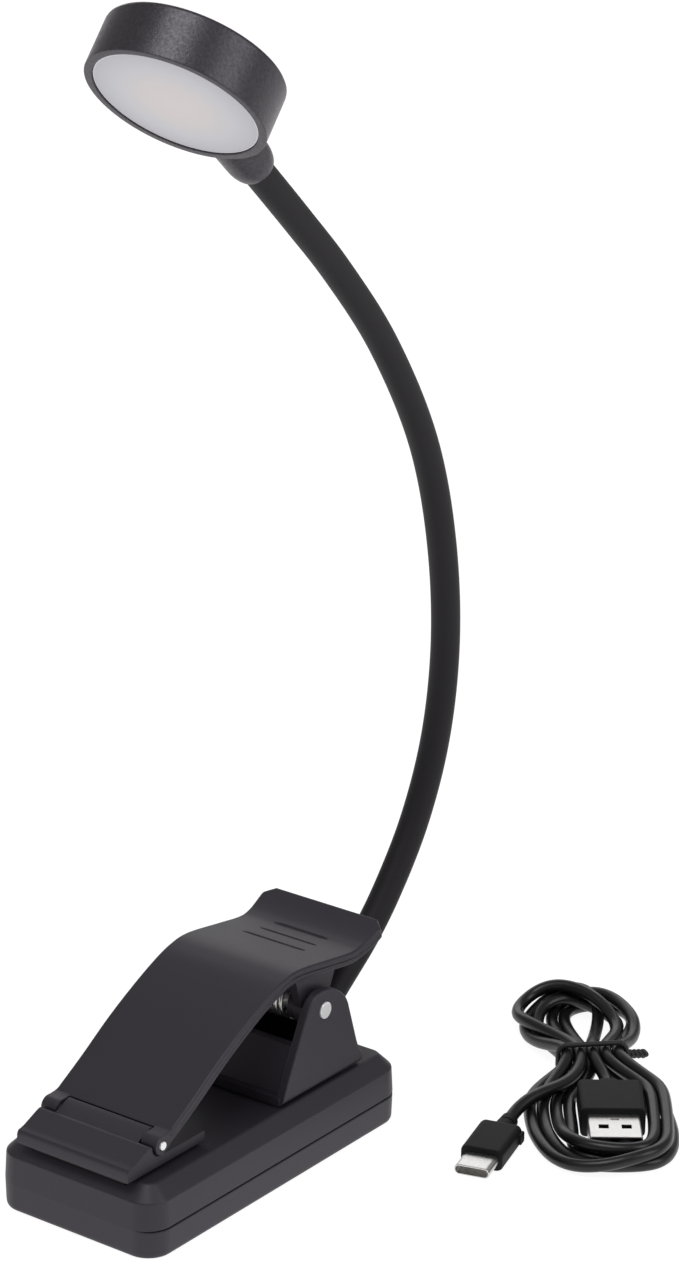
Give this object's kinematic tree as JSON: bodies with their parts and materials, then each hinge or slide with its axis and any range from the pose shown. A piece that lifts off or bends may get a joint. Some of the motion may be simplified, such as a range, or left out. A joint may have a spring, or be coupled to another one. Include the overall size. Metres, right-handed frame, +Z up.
{
  "type": "clip-on reading lamp",
  "caption": "Clip-on reading lamp with a rectangular base, a sprung clamp lever, a gooseneck arm and a round tilted LED head, with its tied charging cable.",
  "frame": {"origin": "centre of the base's flat underside", "axes": "+Z up, +Y along the base towards the end the arm leaves from, -Y towards the jaw, +X to the right seen from the jaw end"},
  "size_m": [0.105, 0.1694, 0.264],
  "materials": {
    "black_plastic": "satin, fine moulded texture",
    "grip_rubber": "matte",
    "battery_pouch": "satin foil",
    "circuit_board": "satin solder mask",
    "port_steel": "bright",
    "switch_plastic": "matte",
    "light_pipe": "clear gloss",
    "pin_steel": "bright",
    "spring_steel": "bright wire",
    "hardware_steel": "zinc plated",
    "button_plastic": "satin",
    "arm_rubber": "matte",
    "gooseneck_steel": "dull wound wire",
    "head_paint": "satin paint with a fine metallic grain",
    "heat_spreader_metal": "as rolled",
    "led_board_white": "white solder mask",
    "reflector_white": "gloss",
    "diffuser": "frosted, translucent",
    "cable_jacket": "semi-gloss",
    "cable_tie": "satin",
    "plug_overmold": "fine texture",
    "plug_steel": "nickel plated",
    "plug_insert": "matte"
  },
  "bodies": {
    "base": {"base_lower_shell": "black_plastic", "base_upper_shell": "black_plastic", "base_grip_pad": "grip_rubber", "battery_cell": "battery_pouch", "main_circuit_board": "circuit_board", "usb_c_port": "port_steel", "tact_switch": "switch_plastic", "charge_indicator": "light_pipe", "base_screw_1": "hardware_steel", "base_screw_2": "hardware_steel", "base_screw_3": "hardware_steel", "base_screw_4": "hardware_steel", "bracket_screw_1": "hardware_steel", "bracket_screw_2": "hardware_steel", "pivot_bracket": "black_plastic", "pivot_pin": "pin_steel", "torsion_spring": "spring_steel", "arm_socket": "black_plastic", "arm_lock_nut": "hardware_steel", "gooseneck_sleeve_1": "arm_rubber", "gooseneck_core_1": "gooseneck_steel", "cable_hank": "cable_jacket", "cable_tie": "cable_tie", "cable_tail": "cable_jacket", "usb_a_overmold": "plug_overmold", "usb_a_shell": "plug_steel", "usb_a_insert": "plug_insert", "usb_c_overmold": "plug_overmold", "usb_c_plug_shell": "plug_steel"},
    "power_button": {"power_button": "button_plastic"},
    "lever": {"clamp_lever": "black_plastic", "jaw_hinge_pin": "pin_steel"},
    "jaw": {"jaw_plate": "black_plastic", "jaw_grip_pad": "grip_rubber"},
    "arm_2": {"gooseneck_sleeve_2": "arm_rubber", "gooseneck_core_2": "gooseneck_steel"},
    "arm_3": {"gooseneck_sleeve_3": "arm_rubber", "gooseneck_core_3": "gooseneck_steel"},
    "arm_4": {"gooseneck_sleeve_4": "arm_rubber", "gooseneck_core_4": "gooseneck_steel"},
    "arm_5": {"gooseneck_sleeve_5": "arm_rubber", "gooseneck_core_5": "gooseneck_steel"},
    "arm_6": {"gooseneck_sleeve_6": "arm_rubber", "gooseneck_core_6": "gooseneck_steel"},
    "arm_7": {"gooseneck_sleeve_7": "arm_rubber", "gooseneck_core_7": "gooseneck_steel"},
    "head": {"gooseneck_sleeve_8": "arm_rubber", "gooseneck_core_8": "gooseneck_steel", "head_housing": "head_paint", "head_collar": "head_paint", "heat_spreader": "heat_spreader_metal", "led_board": "led_board_white", "reflector_ring": "reflector_white", "diffuser_lens": "diffuser"}
  },
  "joints": [
    {"name": "clamp_open", "type": "hinge", "parent": "base", "child": "lever", "pos_m": [0, 0.0197, 0.0352], "axis": [-1, 0, 0], "range_deg": [0, 25], "stiffness_Nm_per_rad": 0.3, "springref_deg": -28.65, "deforming": ["torsion_spring"]},
    {"name": "jaw_swivel", "type": "hinge", "parent": "lever", "child": "jaw", "pos_m": [0, -0.0343, 0.0223], "axis": [-1, 0, 0], "range_deg": [-25, 0]},
    {"name": "power_press", "type": "slide", "parent": "base", "child": "power_button", "axis": [0, -1, 0], "range_m": [0, 0.0006], "stiffness_N_per_m": 200},
    {"name": "bend_1", "type": "hinge", "parent": "base", "child": "arm_2", "pos_m": [0, 0.05874, 0.03267], "axis": [1, 0, 0], "range_deg": [-15, 15]},
    {"name": "sway_1", "type": "hinge", "parent": "arm_2", "child": "arm_3", "pos_m": [0, 0.08064, 0.05942], "axis": [0, -0.8842, 0.4672], "range_deg": [-18, 18]},
    {"name": "bend_2", "type": "hinge", "parent": "arm_3", "child": "arm_4", "pos_m": [0, 0.09003, 0.09264], "axis": [1, 0, 0], "range_deg": [-15, 15]},
    {"name": "sway_2", "type": "hinge", "parent": "arm_4", "child": "arm_5", "pos_m": [0, 0.0872, 0.12718], "axis": [0, -0.9767, -0.2144], "range_deg": [-18, 18]},
    {"name": "bend_3", "type": "hinge", "parent": "arm_5", "child": "arm_6", "pos_m": [0, 0.07484, 0.15953], "axis": [1, 0, 0], "range_deg": [-15, 15]},
    {"name": "sway_3", "type": "hinge", "parent": "arm_6", "child": "arm_7", "pos_m": [0, 0.05448, 0.18766], "axis": [0, -0.7449, -0.6672], "range_deg": [-18, 18]},
    {"name": "bend_4", "type": "hinge", "parent": "arm_7", "child": "head", "pos_m": [0, 0.03003, 0.21238], "axis": [1, 0, 0], "range_deg": [-15, 15]}
  ],
  "couplings": [
    {"joint": "jaw_swivel", "follows": "clamp_open", "ratio": -1},
    {"joint": "bend_2", "follows": "bend_1", "ratio": 1},
    {"joint": "bend_3", "follows": "bend_1", "ratio": 1},
    {"joint": "bend_4", "follows": "bend_1", "ratio": 1},
    {"joint": "sway_2", "follows": "sway_1", "ratio": 1},
    {"joint": "sway_3", "follows": "sway_1", "ratio": 1}
  ]
}
